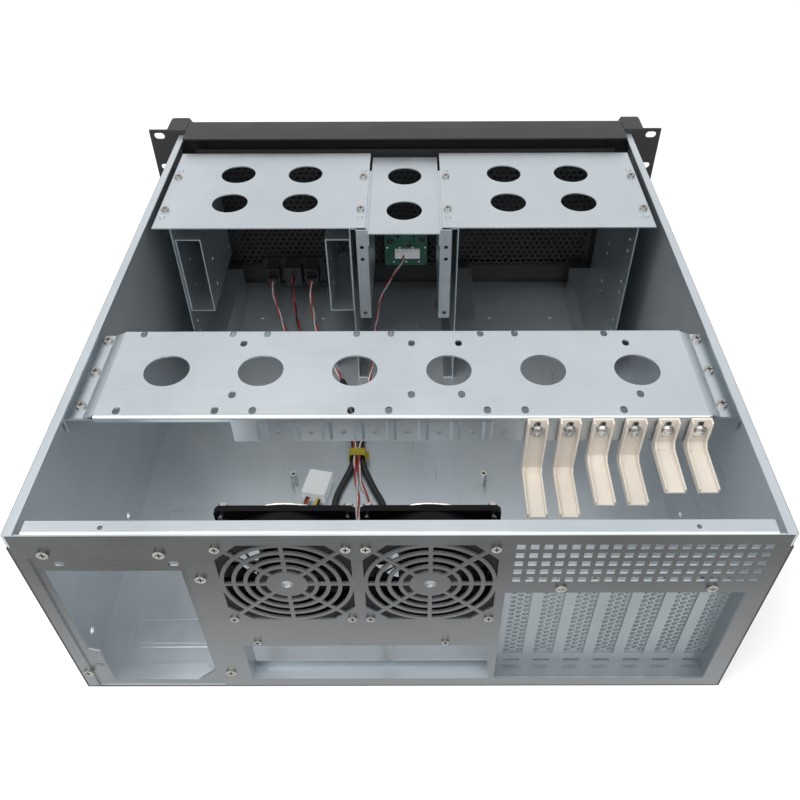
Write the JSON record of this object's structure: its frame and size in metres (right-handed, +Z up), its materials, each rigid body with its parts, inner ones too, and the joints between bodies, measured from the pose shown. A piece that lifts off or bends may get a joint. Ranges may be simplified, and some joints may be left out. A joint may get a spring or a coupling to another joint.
{
  "type": "empty rackmount server case",
  "caption": "Open-topped steel rack case with front ears and handles, drive cages, a crossbar with card clamps, rear fans, a perforated rear panel and expansion slot covers.",
  "frame": {"origin": "on the ground under the middle of the whole case", "axes": "+Z up, -Y towards the rack ears and handles at the front, +X towards the power supply side"},
  "size_m": [0.4826, 0.5, 0.177],
  "materials": {
    "zinc_steel": "zinc-plated sheet steel, satin; the main shell is painted black outside",
    "black_paint": "fine-textured black powder coat",
    "nickel": "nickel-plated screws and posts",
    "chrome_wire": "bright plated steel wire",
    "black_plastic": "black moulded plastic",
    "bezel_plastic": "black satin moulded plastic",
    "ivory_plastic": "ivory moulded plastic",
    "circuit_board": "green solder resist",
    "white_plastic": "milky white nylon",
    "yellow_tie": "yellow soft plastic",
    "red_lead": "red and white insulated wires twisted together",
    "black_lead": "black insulation"
  },
  "bodies": {
    "case": {"chassis_tub": "zinc_steel", "board_standoffs": "nickel", "rear_panel": "zinc_steel", "psu_frame": "zinc_steel", "slot_bracket": "zinc_steel", "finger_guards": "chrome_wire", "panel_screws": "nickel", "fan_screws": "nickel", "fan_frame_left": "black_plastic", "fan_frame_right": "black_plastic", "crossbar": "zinc_steel", "crossbar_brackets": "zinc_steel", "clamp_rail": "zinc_steel", "clamp_screws": "nickel", "cage_top_left": "zinc_steel", "cage_top_right": "zinc_steel", "cage_top_middle": "zinc_steel", "bay_wall_left_outer": "zinc_steel", "bay_wall_left_inner": "zinc_steel", "bay_wall_right_outer": "zinc_steel", "bay_wall_right_inner": "zinc_steel", "tower_bracket_left": "zinc_steel", "tower_bracket_right": "zinc_steel", "adapter_channel_outer": "zinc_steel", "adapter_channel_inner": "zinc_steel", "frame_screws": "nickel", "front_panel": "black_paint", "front_grille": "black_paint", "front_bezel": "bezel_plastic", "handle_left": "black_paint", "handle_right": "black_paint", "switch_panel": "black_plastic", "led_board": "circuit_board", "board_connector": "white_plastic", "cable_tie": "yellow_tie", "power_plug": "white_plastic", "lead_connectors": "black_plastic", "board_lead": "red_lead", "power_lead": "red_lead", "port_lead": "black_lead", "reset_lead": "black_lead", "fan_lead_left": "black_lead", "fan_lead_right": "black_lead", "slot_cover_1": "zinc_steel", "slot_cover_2": "zinc_steel", "slot_cover_3": "zinc_steel", "slot_cover_4": "zinc_steel", "slot_cover_5": "zinc_steel", "slot_cover_6": "zinc_steel", "slot_cover_7": "zinc_steel"},
    "fan_left": {"fan_rotor_left": "black_plastic"},
    "fan_right": {"fan_rotor_right": "black_plastic"},
    "power_button": {"power_button": "bezel_plastic"},
    "reset_button": {"reset_button": "bezel_plastic"},
    "clamp_1": {"card_clamp_1": "ivory_plastic"},
    "clamp_2": {"card_clamp_2": "ivory_plastic"},
    "clamp_3": {"card_clamp_3": "ivory_plastic"},
    "clamp_4": {"card_clamp_4": "ivory_plastic"},
    "clamp_5": {"card_clamp_5": "ivory_plastic"},
    "clamp_6": {"card_clamp_6": "ivory_plastic"}
  },
  "joints": [
    {"name": "fan_left_spin", "type": "hinge", "parent": "case", "child": "fan_left", "pos_m": [0.0654, 0.23295, 0.124], "axis": [0, 1, 0], "continuous": true},
    {"name": "fan_right_spin", "type": "hinge", "parent": "case", "child": "fan_right", "pos_m": [-0.0171, 0.23295, 0.124], "axis": [0, 1, 0], "continuous": true},
    {"name": "clamp_1_slide", "type": "slide", "parent": "case", "child": "clamp_1", "axis": [0, 0, -1], "range_m": [0, 0.005]},
    {"name": "clamp_2_slide", "type": "slide", "parent": "case", "child": "clamp_2", "axis": [0, 0, -1], "range_m": [0, 0.005]},
    {"name": "clamp_3_slide", "type": "slide", "parent": "case", "child": "clamp_3", "axis": [0, 0, -1], "range_m": [0, 0.005]},
    {"name": "clamp_4_slide", "type": "slide", "parent": "case", "child": "clamp_4", "axis": [0, 0, -1], "range_m": [0, 0.005]},
    {"name": "clamp_5_slide", "type": "slide", "parent": "case", "child": "clamp_5", "axis": [0, 0, -1], "range_m": [0, 0.005]},
    {"name": "clamp_6_slide", "type": "slide", "parent": "case", "child": "clamp_6", "axis": [0, 0, -1], "range_m": [0, 0.005]},
    {"name": "power_button_press", "type": "slide", "parent": "case", "child": "power_button", "axis": [0, 1, 0], "range_m": [0, 0.0025], "stiffness_N_per_m": 400, "springref_m": -0.0012},
    {"name": "reset_button_press", "type": "slide", "parent": "case", "child": "reset_button", "axis": [0, 1, 0], "range_m": [0, 0.0025], "stiffness_N_per_m": 400, "springref_m": -0.0012}
  ]
}
